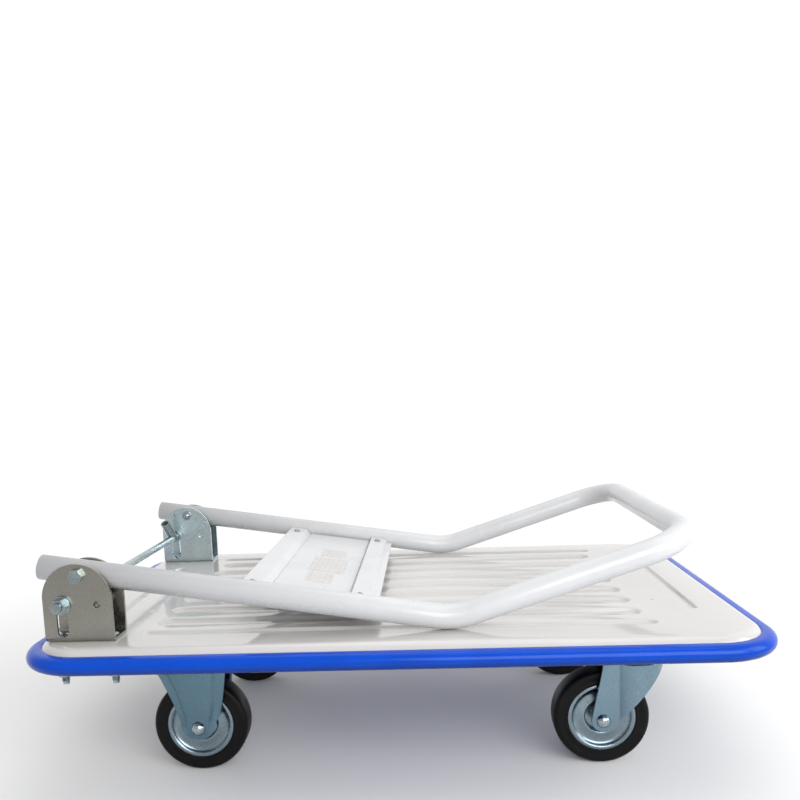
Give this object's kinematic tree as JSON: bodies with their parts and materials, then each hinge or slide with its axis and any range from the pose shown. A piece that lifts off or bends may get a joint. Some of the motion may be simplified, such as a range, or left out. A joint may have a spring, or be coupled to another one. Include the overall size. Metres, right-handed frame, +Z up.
{
  "type": "folding platform cart",
  "caption": "Flat-bed hand cart: ribbed pressed-steel deck with a wrap-round bumper, fold-down tube handle held by a foot-released rod, fixed casters at one end, swivel casters at the other.",
  "frame": {"origin": "on the floor under the middle of the deck", "axes": "+X from the hinged end to the free end, +Y across the deck from the near side to the far side, +Z up"},
  "size_m": [0.74, 0.48, 0.26],
  "materials": {
    "deck_enamel": "gloss",
    "powder_coat": "satin",
    "bumper_vinyl": "gloss",
    "bracket_zinc": "satin",
    "caster_zinc": "satin",
    "wheel_zinc": "satin",
    "bright_zinc": "polished",
    "tyre_rubber": "satin",
    "label": "satin"
  },
  "bodies": {
    "platform": {"deck_pan": "deck_enamel", "bumper_strip": "bumper_vinyl", "bracket_channel": "deck_enamel", "rigid_caster_channel": "deck_enamel", "swivel_caster_channel": "deck_enamel", "bracket_near": "bracket_zinc", "bracket_far": "bracket_zinc", "bracket_bolts": "bright_zinc", "bracket_nuts": "bright_zinc", "pivot_bolts": "bright_zinc", "pivot_rings": "bright_zinc", "return_spring": "bright_zinc", "rigid_fork_near": "caster_zinc", "rigid_fork_far": "caster_zinc", "rigid_axle_bolts": "bright_zinc", "rigid_axle_nuts": "bright_zinc", "swivel_plate_near": "caster_zinc", "swivel_plate_far": "caster_zinc", "swivel_kingpins": "bright_zinc", "race_balls": "bright_zinc", "caster_bolts": "bright_zinc", "caster_nuts": "bright_zinc"},
    "handle": {"handle_tube": "powder_coat", "pivot_sleeves": "bright_zinc", "crossbar_lower": "powder_coat", "crossbar_upper": "powder_coat", "panel_lugs": "powder_coat", "back_panel": "powder_coat", "panel_labels": "label", "panel_screws": "bright_zinc", "panel_nuts": "bright_zinc"},
    "lock": {"lock_rod": "bright_zinc", "rod_washers": "bright_zinc", "rod_nuts": "bright_zinc", "rod_collars": "bright_zinc", "release_peg": "bright_zinc"},
    "swivel_near": {"swivel_fork_near": "caster_zinc", "swivel_axle_bolt_near": "bright_zinc", "swivel_axle_nut_near": "bright_zinc"},
    "swivel_far": {"swivel_fork_far": "caster_zinc", "swivel_axle_bolt_far": "bright_zinc", "swivel_axle_nut_far": "bright_zinc"},
    "rigid_near_wheel": {"rigid_near_tyre": "tyre_rubber", "rigid_near_rim_outer": "wheel_zinc", "rigid_near_rim_inner": "wheel_zinc", "rigid_near_hub": "wheel_zinc"},
    "rigid_far_wheel": {"rigid_far_tyre": "tyre_rubber", "rigid_far_rim_outer": "wheel_zinc", "rigid_far_rim_inner": "wheel_zinc", "rigid_far_hub": "wheel_zinc"},
    "swivel_near_wheel": {"swivel_near_tyre": "tyre_rubber", "swivel_near_rim_outer": "wheel_zinc", "swivel_near_rim_inner": "wheel_zinc", "swivel_near_hub": "wheel_zinc"},
    "swivel_far_wheel": {"swivel_far_tyre": "tyre_rubber", "swivel_far_rim_outer": "wheel_zinc", "swivel_far_rim_inner": "wheel_zinc", "swivel_far_hub": "wheel_zinc"}
  },
  "joints": [
    {"name": "handle_fold", "type": "hinge", "parent": "platform", "child": "handle", "pos_m": [-0.3075, 0, 0.2281], "axis": [0, -1, 0], "range_deg": [0, 98.6]},
    {"name": "lock_rod_slide", "type": "slide", "parent": "platform", "child": "lock", "axis": [0, 0, -1], "range_m": [0, 0.0276], "deforming": ["return_spring"]},
    {"name": "swivel_near_turn", "type": "hinge", "parent": "platform", "child": "swivel_near", "pos_m": [0.246, -0.13, 0.1156], "axis": [0, 0, 1], "continuous": true},
    {"name": "swivel_far_turn", "type": "hinge", "parent": "platform", "child": "swivel_far", "pos_m": [0.246, 0.13, 0.1156], "axis": [0, 0, 1], "continuous": true},
    {"name": "rigid_near_wheel_spin", "type": "hinge", "parent": "platform", "child": "rigid_near_wheel", "pos_m": [-0.213, -0.13, 0.05], "axis": [0, 1, 0], "continuous": true},
    {"name": "swivel_near_wheel_spin", "type": "hinge", "parent": "swivel_near", "child": "swivel_near_wheel", "pos_m": [0.21, -0.13, 0.05], "axis": [0, 1, 0], "continuous": true},
    {"name": "rigid_far_wheel_spin", "type": "hinge", "parent": "platform", "child": "rigid_far_wheel", "pos_m": [-0.213, 0.13, 0.05], "axis": [0, 1, 0], "continuous": true},
    {"name": "swivel_far_wheel_spin", "type": "hinge", "parent": "swivel_far", "child": "swivel_far_wheel", "pos_m": [0.21, 0.13, 0.05], "axis": [0, 1, 0], "continuous": true}
  ],
  "couplings": [
    {"joint": "lock_rod_slide", "follows": "handle_fold", "m_per_rad": 0.016}
  ]
}
